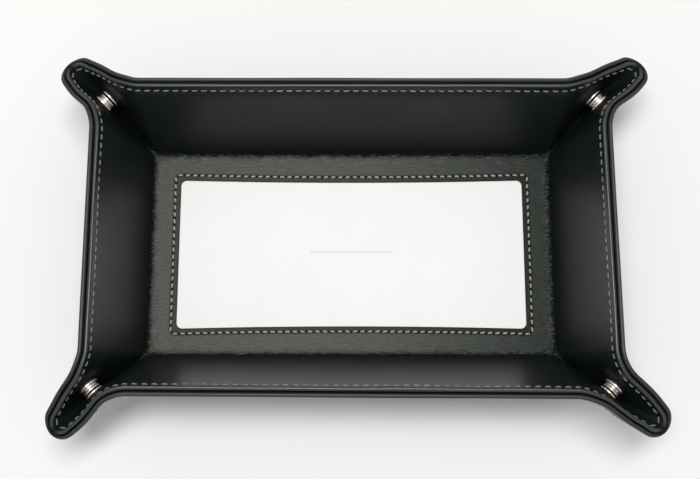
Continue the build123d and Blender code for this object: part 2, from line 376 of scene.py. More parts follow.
def ripples(flat, wave, seed, count=14, shares=(0.7, 1.5)):
    """Smooth noise over the sheet, about -1 to 1, from waves of about one length in seeded directions."""
    draw = np.random.default_rng(seed)
    total = np.zeros(len(flat))
    for _ in range(count):
        turn = draw.uniform(0, pi)
        length = wave * draw.uniform(*shares)
        way = np.array((cos(turn), sin(turn))) * 2 * pi / length
        total += np.sin(flat @ way + draw.uniform(0, 2 * pi))
    return total / sqrt(count)


def window_distance(flat):
    """Distance of a flat point from the window's bowed edge."""
    past = np.abs(flat) - window_half
    past[:, 1] += window_bow * (1 - (flat[:, 0] / window_half[0]) ** 2)
    return np.hypot(np.maximum(past[:, 0], 0), np.maximum(past[:, 1], 0))


def edge_dip(flat):
    """How far the window's seam pulls the leather down."""
    distance = window_distance(flat)
    at_seam = seam_dip * bell(distance - window_stitch_outset, seam_dip_width)
    return window_dip * (1 - eased(distance / window_strip)) + at_seam


def relief(flat, seeds=lining_seeds):
    """Height of the leather over the smooth sheet: uneven faces, wrinkled folds and the window's seam."""
    past = past_folds(flat)
    distance = fold_distance(flat)
    outside = (past > 0).any(1)
    on_walls = eased(distance / wall_swell_start) * outside
    height = wall_swell * ripples(flat, wall_swell_wave, seeds[0]) * on_walls
    squeeze = np.where(past[:, 0:1] > past[:, 1:2], (1.0, wrinkle_share), (wrinkle_share, 1.0))
    wrinkles = ripples(flat * squeeze, wrinkle_wave, seeds[1])
    height += wrinkle_height * wrinkles * bell(distance, wrinkle_reach)
    on_floor = eased((distance - floor_swell_gap) / floor_swell_start) * ~outside
    height += floor_swell * ripples(flat, floor_swell_wave, seeds[2]) * on_floor
    return height - edge_dip(flat) * ~outside


def keel_nearness(flat, width):
    """How near a flat point is to the crease of an ear, 1 on it and 0 far from it."""
    past = past_folds(flat)
    return bell((past[:, 0] - past[:, 1]) / sqrt(2), width) * (past > 0).all(1)


def cover_reach(flat):
    """Depth of the cover's outer face under the lining, less along the ears' creases."""
    along = np.linalg.norm(past_folds(flat), axis=1)
    share = keel_nearness(flat, keel_width) * eased(along / keel_start)
    return cover_depth + (keel_depth - cover_depth) * share


def sheet_frame(flat, step=0.08 * mm):
    """Places and lining normals at any points of the flat sheet."""
    place = smooth_sheet(flat)
    to_x = smooth_sheet(flat + (step, 0)) - place
    to_y = smooth_sheet(flat + (0, step)) - place
    normal = unit(np.cross(to_x, to_y))
    return place + normal * relief(flat)[:, None], normal


# Columns: even along the sides, and rays from the floor corner that close up towards the ear's crease
side_shares = np.arange(side_columns) / side_columns
long_shares = 1 - np.arange(1, long_columns + 1) / long_columns
rim_straight = wall_slant - sheet_corner
run = (1 - (1 - np.linspace(0, 1, fan_columns + 1)) ** fan_power) * (rim_straight + sheet_corner * pi / 4)
bent = np.maximum(run - rim_straight, 0) / sheet_corner
ray_x = rim_straight + sheet_corner * np.cos(bent)
ray_y = np.minimum(run, rim_straight) + sheet_corner * np.sin(bent)
rays = np.stack((ray_x, ray_y), 1)
rim_fan = np.concatenate((rays, rays[-2::-1, ::-1]))  # where the rays meet the rim
rim_normals = unit(np.maximum(rim_fan - rim_straight, 0))
fan_ways = unit(rim_fan)
quarter = side_columns + len(rim_fan) + long_columns - 1
crease_column = side_columns + fan_columns


def quarter_line(half, straight, corner):
    """A quarter of a line round the tray at the mesh's columns, from its +X side to its +Y side."""
    side = np.stack((np.full(side_columns, half[0]), straight[1] * side_shares), 1)
    long = np.stack((straight[0] * long_shares, np.full(long_columns, half[1])), 1)
    return np.concatenate((side, straight + corner, long))


def rounded_quarter(half, radius):
    return quarter_line(half, half - radius, radius * fan_ways)


def rim_quarter(inset):
    """The rim's quarter, drawn in by an inset square to it."""
    return quarter_line(floor_half + wall_slant - inset, floor_half, rim_fan - rim_normals * inset)


def all_round(quarter):
    """The four quarters of a line round the tray, from one quarter's points."""
    mirrored = quarter[::-1]
    return np.concatenate((
        quarter[:-1],
        (mirrored * (-1, 1))[:-1],
        (quarter * (-1, -1))[:-1],
        (mirrored * (1, -1))[:-1],
    ))


# Rows from the window to the rim, each a loop round the tray
bead_turns = np.linspace(0, pi / 2, bead_rows + 1)[1:]
frame_bead = frame_skin / 2
layer_bead = lining_depth / 2


def window_loop(outset):
    """The window's edge, drawn out by an outset, with its long sides bowed in."""
    loop = rounded_quarter(window_half + outset, window_round + outset)
    loop[:, 1] -= window_bow * (1 - (loop[:, 0] / window_half[0]) ** 2) * (loop[:, 1] > window_half[1] / 2)
    return loop


window_line = window_loop(frame_bead)
floor_line = rounded_quarter(floor_half - floor_inset, floor_line_round)
wall_line = rounded_quarter(floor_half + wall_outset, wall_outset)
hem_line = rim_quarter(rim_inset)
loops = [window_loop(frame_bead * (1 - sin(turn))) for turn in bead_turns[::-1]] + [window_line]
for first, last, count in (
    (window_line, floor_line, window_rows),
    (floor_line, wall_line, fold_rows),
    (wall_line, hem_line, wall_rows),
):
    loops += [first + (last - first) * row / count for row in range(1, count + 1)]
loops += [rim_quarter(inset) for inset in np.linspace(rim_inset, layer_bead, hem_rows + 1)[1:]]
loops += [rim_quarter(layer_bead * (1 - sin(turn))) for turn in bead_turns]
floor_row = bead_rows + window_rows
wall_row = floor_row + fold_rows
rim_row = len(loops) - 1
hem_row = rim_row - bead_rows - hem_rows
closing = np.zeros((len(loops), 1, 1))  # how far a layer's faces have met, 0 to 1
closing[:bead_rows, 0, 0] = 1 - np.cos(bead_turns[::-1])
closing[-bead_rows:, 0, 0] = 1 - np.cos(bead_turns)

flat = np.stack([all_round(loop) for loop in loops])
rows, columns = flat.shape[:2]
flat_points = flat.reshape(-1, 2)
lining_points = np.stack([
    all_round(loop if row < hem_row else loop + (hem_line - loop) * rim_drop / rim_inset)
    for row, loop in enumerate(loops)
]).reshape(-1, 2)


def grid_normals(grid):
    across = np.roll(grid, -1, 1) - np.roll(grid, 1, 1)
    outward = np.gradient(grid, axis=0)
    return unit(np.cross(outward, across))


smooth = smooth_sheet(flat_points).reshape(rows, columns, 3)
smooth_normal = grid_normals(smooth)
lining_smooth = smooth_sheet(lining_points).reshape(rows, columns, 3)
lining_normal = grid_normals(lining_smooth)
row_number = np.arange(rows)[:, None, None]
rim_share = eased((row_number - hem_row) / hem_rows)
lining_relief = relief(lining_points).reshape(rows, columns, 1)
raised = lining_smooth + lining_normal * (lining_relief + rim_gap * rim_share)
corner_reach = np.linalg.norm(past_folds(flat), axis=-1)
half_ears = [(k, half) for k in range(4) for half in ("side", "long")]
seat_plane = stud_above_crease * tan(ear_lean)


def signs(k):
    """Signs of x and y in a quarter of the tray, counted round from +X."""
    return ((1, 1), (-1, 1), (-1, -1), (1, -1))[k]


def turned(way, k, half):
    """A direction given for the half ear on the +X wall at +Y, turned to another half ear."""
    way = np.array(way, dtype=float)
    if half == "long":
        way = way[[1, 0, 2]]
    return way * (*signs(k), 1)


def floor_corner_place(k):
    return np.array((*floor_half, lining_top)) * (*signs(k), 1)


def stud_centre(k):
    return floor_corner_place(k) + turned(crease * stud_along_crease + over * stud_above_crease, k, "side")


def pressed(surface, seat):
    """A face of the sheet with the flat seats that the press studs squeeze into each half ear."""
    surface = surface.copy()
    reach = stud_above_crease / cos(ear_lean)
    spot = np.array((stud_along_crease + reach, stud_along_crease - reach)) / sqrt(2)
    for k, half in half_ears:
        way = turned(side_way, k, half)
        own_spot = spot if half == "side" else spot[::-1]
        away = np.linalg.norm(flat - (floor_half + own_spot) * signs(k), axis=-1)
        hold = 1 - eased((away - stud_press[0]) / (stud_press[1] - stud_press[0]))
        shift = seat - (surface - stud_centre(k)) @ way
        surface += (hold * shift)[..., None] * way
    return surface


# Faces of the layers
frame_half = (frame_skin - edge_dip(flat_points).reshape(rows, columns, 1)) / 2
edge_closing = closing * np.where(row_number < bead_rows, frame_half, layer_bead)
rim_closing = closing * (row_number > wall_row)
outer_depth = cover_reach(flat_points).reshape(rows, columns, 1)
half_depth = (outer_depth - cover_start) / 2
inner_seat = seat_plane + inner_seat_sink
outer_seat = seat_plane + lining_top / cos(ear_lean) - outer_seat_sink
outer_relief = cover_relief_share * relief(flat_points, cover_seeds).reshape(rows, columns, 1)
outer_relief = outer_relief * eased((row_number - floor_row) / fold_rows)

lining_face = pressed(raised - lining_normal * edge_closing, inner_seat)
lining_back = lining_smooth - lining_normal * (lining_depth - edge_closing - rim_gap * rim_share)
frame_back = lining_smooth - lining_normal * (frame_skin - edge_closing)
cover_inner = smooth - smooth_normal * (cover_start + rim_closing * half_depth)
cover_outer = smooth - smooth_normal * (outer_depth - rim_closing * half_depth - outer_relief)
plate_top = smooth - up * plate_depth


def relaxed(surface, strength):
    """A face with its points near the floor corners drawn to the middle of their neighbours."""
    for _ in range(relax_times):
        middle = (np.roll(surface, 1, 1) + np.roll(surface, -1, 1)) / 2
        middle[1:-1] = (middle[1:-1] + (surface[:-2] + surface[2:]) / 2) / 2
        surface = surface + (middle - surface) * strength
    return surface


near_corner = (1 - eased((corner_reach[..., None] - relax_reach) / relax_fade)) * (row_number > floor_row)
cover_inner = relaxed(cover_inner, near_corner)
cover_outer = pressed(relaxed(cover_outer, near_corner), outer_seat)
cover_outer[..., 2] = np.maximum(cover_outer[..., 2], 0)


def shell_normals(face, back):
    """Outward normals of a layer's face and back, which meet round the rim's bead."""
    normals = grid_normals(np.concatenate((face, back[-2::-1])))
    return normals[:rows], normals[rows - 1:][::-1]


def linked(piece):
    bpy.context.scene.collection.objects.link(piece)
    return piece


def new_piece(name, points, faces):
    mesh = bpy.data.meshes.new(name)
    mesh.from_pydata(points, [], faces)
    mesh.polygons.foreach_set("use_smooth", [True] * len(faces))
    return linked(bpy.data.objects.new(name, mesh))


def store(piece, name, vectors):
    """Keeps a vector for each point of a piece, for the materials."""
    stored = piece.data.attributes.new(name, "FLOAT_VECTOR", "POINT")
    stored.data.foreach_set("vector", vectors.ravel().astype(float))


def shell(name, cells, face, back, normals, closed_row=None, capped_row=None):
    """A closed piece of the sheet between a face and a back, over the given cells of the mesh.

    Face and back meet in closed_row. From capped_row inward, one flat polygon closes each of them.
    """
    ids = np.arange(rows * columns).reshape(rows, columns)
    back_ids = ids + rows * columns
    if closed_row is not None:
        back_ids[closed_row] = ids[closed_row]
    after = (np.arange(columns) + 1) % columns
    row, column = np.nonzero(cells)
    corners = ((row, column), (row + 1, column), (row + 1, after[column]), (row, after[column]))
    face_cells = np.stack([ids[corner] for corner in corners], 1)
    back_cells = np.stack([back_ids[corner] for corner in corners[::-1]], 1)
    beyond = np.pad(cells, ((1, 1), (0, 0)))
    rims = (
        (cells & ~beyond[:-2], (0, 0), (0, 1)),
        (cells & ~beyond[2:], (1, 1), (1, 0)),
        (cells & ~np.roll(cells, 1, 1), (1, 0), (0, 0)),
        (cells & ~np.roll(cells, -1, 1), (0, 1), (1, 1)),
    )
    edge_cells = []
    for open_cells, first, last in rims if capped_row is None else rims[1:]:
        row, column = np.nonzero(open_cells)
        near = (row + first[0], after[column] if first[1] else column)
        far = (row + last[0], after[column] if last[1] else column)
        for cell in np.stack((ids[near], ids[far], back_ids[far], back_ids[near]), 1).tolist():
            cell = list(dict.fromkeys(cell))
            if len(cell) > 2:
                edge_cells.append(cell)
    if capped_row is not None:
        edge_cells += [ids[capped_row].tolist(), back_ids[capped_row][::-1].tolist()]
    place = np.concatenate((face.reshape(-1, 3), back.reshape(-1, 3)))
    normal = np.concatenate((normals[0].reshape(-1, 3), normals[1].reshape(-1, 3)))
    smooth_cells = np.concatenate((face_cells, back_cells))
    loop_normals = normal[smooth_cells.ravel()].tolist()
    for cell in edge_cells:
        a, b, c = place[cell[0]], place[cell[len(cell) // 3]], place[cell[2 * len(cell) // 3]]
        across = np.cross(b - a, c - b)
        loop_normals += [(across / max(np.linalg.norm(across), 1e-12)).tolist()] * len(cell)
    used = np.unique(np.concatenate((smooth_cells.ravel(), np.array(sum(edge_cells, []), dtype=int))))
    renumbered = np.zeros(2 * rows * columns, dtype=int)
    renumbered[used] = np.arange(len(used))
    polygons = renumbered[smooth_cells].tolist() + [renumbered[cell].tolist() for cell in edge_cells]
    piece = new_piece(name, place[used].tolist(), polygons)
    store(piece, "sheet", sheet_coordinates[used])
    store(piece, "marks", sheet_marks[used])
    piece.data.normals_split_custom_set(loop_normals)
    return piece


# What the materials read: the place on the flat sheet, and how near floor, fold, window and rim are
depth_offset = np.concatenate((np.zeros((rows * columns, 1)), np.full((rows * columns, 1), floor_half[0])))
sheet_coordinates = np.concatenate((np.tile(flat_points, (2, 1)), depth_offset), 1)
fold_reach = fold_distance(flat_points)
is_floor = (past_folds(flat_points) < 0).all(1)
floor_share = eased(0.5 + np.where(is_floor, fold_reach, -fold_reach) / floor_mark)
# The fold mark, with the floor corners' creases, sets where the leather gets painted highlight streaks and
# streaked relief
corner_crease_mark = keel_nearness(flat_points, corner_crease_width) * bell(corner_reach.ravel(), corner_crease_reach)
fold_share = np.maximum(bell(fold_reach, fold_mark), corner_crease_mark)
up_wall = fold_reach / wall_slant * (1 - keel_nearness(flat_points, crease_mark))
# Near the window: a mark for the painted shade on the strip that the seam pulls down, and along the seam's
# holes
from_window = window_distance(flat_points)
by_seam = bell(from_window - window_stitch_outset, seam_mark)
by_edge = edge_mark_share * (1 - eased(from_window / window_strip - edge_start_share))
up_wall = np.where(is_floor, -np.maximum(by_seam, by_edge), up_wall)
sheet_marks = np.tile(np.stack((floor_share, fold_share, up_wall), 1), (2, 1))


# Which cells of the mesh belong to which piece
def past_ear_fold(past, on_long):
    """How far points past the floor's corner lie past the fold between wall and ear."""
    along = np.where(on_long, past[..., 0], past[..., 1])
    outward = np.where(on_long, past[..., 1], past[..., 0])
    return along * cos(throat_angle) - outward * sin(throat_angle)


middle_flat = (flat[:-1] + flat[1:]) / 2
middle_flat = (middle_flat + np.roll(middle_flat, -1, 1)) / 2
cell_row, cell_column = np.indices(middle_flat.shape[:2])
on_back = (cell_column >= crease_column) & (cell_column < 2 * quarter - crease_column)
on_front = (cell_column >= 2 * quarter + crease_column) & (cell_column < 4 * quarter - crease_column)
on_long = on_back | on_front
from_fold = past_ear_fold(past_folds(middle_flat), on_long)
on_ear = (cell_row >= wall_row) & (from_fold > -ear_overlap)
on_wall = (cell_row >= floor_row) & ~on_ear
cell_quarter = cell_column // quarter
corner_names = ("back_right", "back_left", "front_left", "front_right")
wall_cells = {
    "right": on_wall & ~on_long & np.isin(cell_quarter, (0, 3)),
    "left": on_wall & ~on_long & np.isin(cell_quarter, (1, 2)),
    "back": on_wall & on_back,
    "front": on_wall & on_front,
}
ear_cells = {
    (k, half): on_ear & (cell_quarter == k) & (on_long == (half == "long")) for k, half in half_ears
}
wall_out = {"right": along_x, "left": -along_x, "back": along_y, "front": -along_y}


def bend_with_wall(piece):
    """Bakes the placement of a piece that crosses a floor fold into its mesh."""
    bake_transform(piece)


def bend_with_ear(piece):
    """Bakes the placement of a piece that crosses an ear's fold into its mesh."""
    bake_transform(piece)


# Leather: the lining, the cover and the plate under the floor
lining_normals = shell_normals(lining_face, lining_back)
cover_normals = shell_normals(cover_inner, cover_outer)
frame_normals = (lining_normals[0], -lining_normals[0])
plate_up = np.broadcast_to(up, plate_top.shape)
plate_normals = (plate_up, -plate_up)
on_frame = cell_row < floor_row
floor_frame = shell("floor_frame", on_frame, lining_face, frame_back, frame_normals, closed_row=0)
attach(floor_frame, "base")
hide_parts("floor_lining")
on_plate = on_frame & (cell_row >= bead_rows)
floor_plate = shell("floor_plate", on_plate, plate_top, cover_outer, plate_normals, capped_row=bead_rows)
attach(floor_plate, "base")
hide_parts("base_cover")
linings = [floor_frame]
covers = [floor_plate]
for made, layer, near, far, normals in (
    (linings, "lining", lining_face, lining_back, lining_normals),
    (covers, "cover", cover_inner, cover_outer, cover_normals),
):
    for wall, cells in wall_cells.items():
        piece = shell(f"{wall}_wall_{layer}_leather", cells, near, far, normals, closed_row=rim_row)
        bend_with_wall(piece)
        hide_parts(f"{wall}_wall_{layer}")
        made.append(piece)
    for (k, half), cells in ear_cells.items():
        ear = f"{corner_names[k]}_ear_{half}_{layer}"
        piece = shell(f"{ear}_leather", cells, near, far, normals, closed_row=rim_row)
        bend_with_ear(piece)
        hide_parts(ear)
        made.append(piece)


# Seams
def stitch_quarter(half, radius, pitches, share, bow=0.0):
    """Centre lines of the stitches in a quarter of a rounded rectangle, none across the corner's middle."""
    runs = half[::-1] - radius + radius * pi / 4
    counts = np.round(runs / pitches).astype(int)
    pitch = np.repeat(runs / counts, counts)
    place = np.linspace(-1, 1, stitch_rings)
    run = (np.cumsum(pitch) - pitch / 2)[:, None] + place * pitch[:, None] * share / 2
    straight = half[1] - radius
    turn = np.clip((run - straight) / radius, 0, pi / 2)
    normal = np.stack((np.cos(turn), np.sin(turn)), -1)
    point = half - radius + normal * (radius + place * stitch_skew)[:, None]
    point[..., 1] -= np.maximum(straight - run, 0)
    point[..., 0] -= np.maximum(run - straight - radius * pi / 2, 0)
    point[..., 1] -= bow * (1 - (point[..., 0] / half[0]) ** 2) * (point[..., 1] > half[1] / 2)
    return point


def threads(name, lines, outer=False, radius=thread_radius):
    """Stitches as short tubes on the flat centre lines, their ends sunk into the leather."""
    count = len(lines)
    flat_lines = lines.reshape(-1, 2)
    place, out = sheet_frame(flat_lines)
    rise_share = stitch_rise_share
    if outer:
        place = place - out * cover_reach(flat_lines)[:, None]
        out = -out
        rise_share = outer_stitch_rise_share
    sink_share = stitch_sink_share * np.tile(np.linspace(-1, 1, stitch_rings), count) ** 4
    place = place + out * (radius * (rise_share - sink_share))[:, None]
    along = unit(np.gradient(place.reshape(count, stitch_rings, 3), axis=1).reshape(-1, 3))
    beside = unit(np.cross(along, out))
    above = np.cross(beside, along)
    turn = np.arange(thread_sides) * 2 * pi / thread_sides
    ring = np.cos(turn)[:, None, None] * beside + np.sin(turn)[:, None, None] * above
    points = (place + ring * radius).transpose(1, 0, 2).reshape(-1, 3)
    number = np.arange(len(points)).reshape(count, stitch_rings, thread_sides)
    around = np.roll(number, -1, 2)
    walls = np.stack((number[:, :-1], around[:, :-1], around[:, 1:], number[:, 1:]), -1).reshape(-1, 4)
    ends = np.concatenate((number[:, 0, ::-1], number[:, -1]))
    piece = new_piece(name, points.tolist(), walls.tolist() + ends.tolist())
    turns = np.broadcast_to(turn / (2 * pi), number.shape)
    lengths = np.broadcast_to(np.arange(stitch_rings)[:, None] / stitch_rings, number.shape)
    numbers = np.broadcast_to(np.arange(count)[:, None, None], number.shape)
    store(piece, "ply", np.stack((lengths, turns, numbers), -1))
    return piece


rim_half = floor_half + wall_slant - rim_stitch_inset
rim_seam = stitch_quarter(rim_half, sheet_corner - rim_stitch_inset, rim_stitch_pitches, stitch_share)
window_seam = stitch_quarter(
    window_half + window_stitch_outset, window_stitch_round,
    window_stitch_pitch, window_stitch_share, window_bow,
)
middle_past = rim_seam[:, stitch_rings // 2] - floor_half
on_long_wall = middle_past[:, 1] > middle_past[:, 0]
to_ear = past_ear_fold(middle_past, on_long_wall) > -ear_overlap
rim_threads = []
for layer in ("inner", "outer"):
    for wall in wall_out:
        long = wall in ("back", "front")
        run = rim_seam[~to_ear & (on_long_wall == long)]
        beside = [k for k in range(4) if wall in corner_names[k].split("_")]
        lines = np.concatenate([run * signs(k) for k in beside])
        piece = threads(f"{wall}_wall_{layer}_seam", lines, layer == "outer")
        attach(piece, f"{wall}_wall")
        rim_threads.append(piece)
    for k, half in half_ears:
        lines = rim_seam[to_ear & (on_long_wall == (half == "long"))] * signs(k)
        piece = threads(f"{corner_names[k]}_ear_{half}_{layer}_seam", lines, layer == "outer")
        bend_with_ear(piece)
        rim_threads.append(piece)
window_lines = np.concatenate([window_seam * signs(k) for k in range(4)])
window_threads = threads("window_seam", window_lines, radius=window_thread_radius)
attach(window_threads, "base")


# Press studs
def rounded_outline(corners):
    """A turned piece's outline, given as distances from the axis and along it, with its corners rounded."""
    corners = np.array(corners)
    points = [corners[0]]
    for before, corner, after in zip(corners, corners[1:], corners[2:]):
        edges = np.stack((before - corner, after - corner))
        reach = min(metal_round, edge_use_share * np.linalg.norm(edges, axis=1).min())
        start, end = corner + unit(edges) * reach
        for share in np.linspace(0, 1, metal_round_steps + 1):
            points.append(start * (1 - share) ** 2 + corner * 2 * share * (1 - share) + end * share**2)
    return np.array(points + [corners[-1]])


def lathed(name, outline, centre, axis):
    """A round piece about an axis, from an outline that starts and ends on it."""
    across = unit(np.cross(axis, up))
    above = np.cross(axis, across)
    turn = np.arange(lathe_sides) * 2 * pi / lathe_sides
    ring = np.cos(turn)[:, None] * across + np.sin(turn)[:, None] * above
    reach, along = outline[:, :1, None], outline[:, 1:, None]
    points = centre + axis * along + ring * reach
    points = np.concatenate((points[0, :1], points[1:-1].reshape(-1, 3), points[-1, :1])).tolist()
    number = np.arange(1, len(points) - 1).reshape(-1, lathe_sides)
    around = np.roll(number, -1, 1)
    ends = ((0, around[0], number[0]), (len(points) - 1, number[-1], around[-1]))
    faces = [(end, a, b) for end, first, second in ends for a, b in zip(first.tolist(), second.tolist())]
    faces += np.stack((number[:-1], around[:-1], around[1:], number[1:]), -1).reshape(-1, 4).tolist()
    piece = new_piece(name, points, faces)
    shape = bmesh.new()
    shape.from_mesh(piece.data)
    bmesh.ops.recalc_face_normals(shape, faces=shape.faces)
    shape.to_mesh(piece.data)
    shape.free()
    return piece


def dome(radius, base, height):
    """Outline of a shallow dome, from its middle to its edge."""
    return [(radius * sin(turn), base + height * cos(turn)) for turn in np.linspace(0, pi / 2, dome_steps)]


barrel = [(barrel_radius, outer_seat), (barrel_radius, inner_seat), (0, inner_seat)]
cap_outline = dome(cap_radius - cap_brim_width, outer_seat + cap_brim_height, cap_height - cap_brim_height)
cap_outline += [(cap_radius, outer_seat + cap_edge_height), (cap_radius - cap_undercut, outer_seat)] + barrel
socket_rim = inner_seat - socket_rim_height
socket_face = stud_flange_thickness + stud_gap - inner_seat
socket_lip = socket_face + socket_lip_height
socket_end = socket_face + socket_depth
socket_outline = [
    (0, inner_seat), (socket_radius, inner_seat), (socket_radius, socket_rim),
    (socket_waist_radius, socket_rim - socket_waist_drop),
    (socket_waist_radius, socket_lip + socket_lip_slope),
    (socket_lip_radius, socket_lip), (socket_lip_radius, socket_face),
    (socket_mouth_radius, socket_face), (socket_mouth_radius, socket_end), (0, socket_end),
]
stud_face = inner_seat - stud_flange_thickness
tip = stud_face - stud_length
stud_outline = [(0, tip), (stud_tip_radius, tip), (stud_head_radius, tip + stud_widest_height)]
stud_outline += [(stud_neck_radius, tip + stud_head_height), *(stud_foot + (0, stud_face))]
stud_outline += [(stud_flange_radius, inner_seat - stud_seat_inset), (0, inner_seat)]
post_outline = [
    *(post_dimple + (0, outer_seat)), (post_crown_radius, outer_seat + post_height),
    (post_radius, outer_seat + post_edge_height), (post_radius, outer_seat), *barrel,
]
metal = []
for k in range(4):
    for half, outlines in (
        ("side", {"snap_cap": cap_outline, "snap_socket": socket_outline}),
        ("long", {"snap_post": post_outline, "snap_stud": stud_outline}),
    ):
        for kind, outline in outlines.items():
            node = f"{corner_names[k]}_{kind}"
            outline = rounded_outline(outline)
            piece = lathed(f"{node}_turned", outline, stud_centre(k), turned(side_way, k, half))
            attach(piece, f"{corner_names[k]}_ear_{half}")
            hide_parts(node)
            metal.append(piece)


# Materials
sheen_tint = (0.93, 1.0, 0.98)
# Light grey of the painted highlight streaks on the leather's folds, and the painted shade between the plies
# of a thread
fold_highlight_and_ply_shade = (0.10, 0.10, 0.09)  # of the leather's folds, and between the plies of a thread
nickel_colours = ((0.54, 0.51, 0.46), (0.38, 0.33, 0.26))
board_colours = ((0.20, 0.16, 0.12), (0.32, 0.27, 0.21))
panel_colours = ((0.895, 0.895, 0.885), (0.915, 0.915, 0.905))
panel_line = (42 * mm, 0.8 * mm)
panel_line_place = (0.2 * mm, 0.8 * mm)
panel_line_colour = (0.74, 0.73, 0.72)


def fill(tree, node, inputs):
    """Gives a node its inputs, each a value or a socket to link from."""
    for name, value in inputs.items():
        if isinstance(value, bpy.types.NodeSocket):
            tree.links.new(value, node.inputs[name])
        else:
            node.inputs[name].default_value = value


def add(tree, kind, inputs, **settings):
    """The outputs of a new node, made with its settings and inputs."""
    made = tree.nodes.new(f"ShaderNode{kind}")
    for name, value in settings.items():
        setattr(made, name, value)
    fill(tree, made, inputs)
    return made.outputs


def material_tree(name):
    material = bpy.data.materials.new(name)
    material.use_nodes = True
    tree = material.node_tree
    return material, tree, tree.nodes["Principled BSDF"]


def scaled(tree, vector, scale):
    return add(tree, "VectorMath", {0: vector, "Scale": scale}, operation="SCALE")[0]


def parted(tree, vector):
    """The three numbers of a vector."""
    return add(tree, "SeparateXYZ", {0: vector})


def attribute(tree, name, scale=1):
    """A vector stored on the mesh."""
    return scaled(tree, add(tree, "Attribute", {}, attribute_name=name)["Vector"], scale)


def object_vector(tree, scale=1):
    """The place on a piece."""
    return scaled(tree, add(tree, "TexCoord", {})["Object"], scale)


def noise(tree, vector, scale, detail=3.0, roughness=0.5, distortion=0.0):
    return add(tree, "TexNoise", {
        "Vector": vector, "Scale": scale, "Detail": detail, "Roughness": roughness, "Distortion": distortion,
    })["Fac"]


def maths(tree, operation, a, b=0.0, clamp=False):
    return add(tree, "Math", {0: a, 1: b}, operation=operation, use_clamp=clamp)[0]


def product(tree, a, b, clamp=False):
    return maths(tree, "MULTIPLY", a, b, clamp)


def total(tree, a, b, clamp=False):
    return maths(tree, "ADD", a, b, clamp)


def spread(tree, value, low, high, from_low=0.3, from_high=0.7):
    """A value moved from one range to another."""
    return add(tree, "MapRange", {
        "Value": value, "From Min": from_low, "From Max": from_high, "To Min": low, "To Max": high,
    })[0]


def mixed(tree, share, a, b):
    """A colour between two, by a share."""
    a, b = (value if isinstance(value, bpy.types.NodeSocket) else (*value, 1) for value in (a, b))
    return add(tree, "Mix", {"Factor": share, 6: a, 7: b}, data_type="RGBA")[2]


def clouded(tree, cloud, colours):
    """A colour between two, by a noise."""
    return mixed(tree, spread(tree, cloud, 0, 1), *colours)


def bumped(tree, height, distance, **below):
    """The normal that a relief gives, over an earlier one where Normal names it."""
    return add(tree, "Bump", {"Height": height, "Distance": distance, "Strength": 1.0, **below})[0]


def leather(name, wall, floor, painted_strip_shade, rough_fold, rough_rim, rim_level):
    """Black coated leather: creased at the folds with painted highlight streaks, greyer on the floor with a
    painted sheen that pales towards -X, darkened by painted shade by the window's seam and edge, and rubbed
    smoother to the rim.
    """
    material, tree, shader = material_tree(name)
    vector = attribute(tree, "sheet", 1 / mm)
    across = parted(tree, vector)[0]
    on_floor, on_fold, up_wall = parted(tree, attribute(tree, "marks"))
    height = total(tree, up_wall, 0.0, clamp=True)
    by_window = product(tree, up_wall, -1.0, clamp=True)
    bare_floor = maths(tree, "SUBTRACT", on_floor, by_window, clamp=True)

    squeezed = add(tree, "VectorMath", {0: vector, 1: (0.3, 1.0, 1.0)}, operation="MULTIPLY")[0]
    cloud = noise(tree, vector, 0.09, detail=4, roughness=0.6)
    blotch = noise(tree, vector, 0.6, detail=5, roughness=0.65)
    fine = noise(tree, vector, 5.5, roughness=0.6)
    streak = noise(tree, squeezed, 1.1, detail=4, roughness=0.6, distortion=0.6)
    pebbles = {"Vector": vector, "Scale": 1.25, "Randomness": 0.9}
    pebble = add(tree, "TexVoronoi", pebbles, feature="SMOOTH_F1")["Distance"]

    # Painted sheen: the floor's colour pales towards -X, with random blotches of tone
    painted_sheen_and_blotch = spread(tree, across, 0.75, -0.1, from_low=10, from_high=95)
    painted_sheen_and_blotch = total(tree, painted_sheen_and_blotch, spread(tree, blotch, 0.0, 0.25), clamp=True)
    # Painted highlight: lighter streaks along the folds and the floor corners' creases
    fold_highlight_share = spread(tree, streak, 0, 1, from_low=0.48, from_high=0.6)
    fold_highlight_share = product(tree, product(tree, on_fold, fold_highlight_share, clamp=True), 0.7)
    colour = mixed(tree, on_floor, clouded(tree, cloud, wall), mixed(tree, painted_sheen_and_blotch, *floor))
    colour = mixed(tree, fold_highlight_share, colour, fold_highlight_and_ply_shade)
    # Painted shade on the strip by the window's edge and along its seam
    colour = mixed(tree, by_window, colour, painted_strip_shade)

    rough = spread(tree, height, rough_fold, rough_rim, from_low=0, from_high=1)
    rough = total(tree, rough, spread(tree, blotch, -0.04, 0.04))
    floor_level = spread(tree, across, 0.32, 0.22, from_low=-20, from_high=90)
    level = spread(tree, height, 0.03, rim_level, from_low=0, from_high=1)
    level = maths(tree, "MAXIMUM", level, product(tree, bare_floor, floor_level))
    grain = total(tree, product(tree, pebble, -0.8), product(tree, fine, 0.3))
    streak_share = total(tree, product(tree, on_floor, 0.6), product(tree, on_fold, 0.9))
    streaks = product(tree, streak, streak_share)
    fill(tree, shader, {
        "Base Color": colour, "Roughness": rough,
        "Specular IOR Level": level, "Specular Tint": (*sheen_tint, 1),
        "Normal": bumped(tree, streaks, 0.5 * mm, Normal=bumped(tree, grain, 0.04 * mm)),
    })
    return material


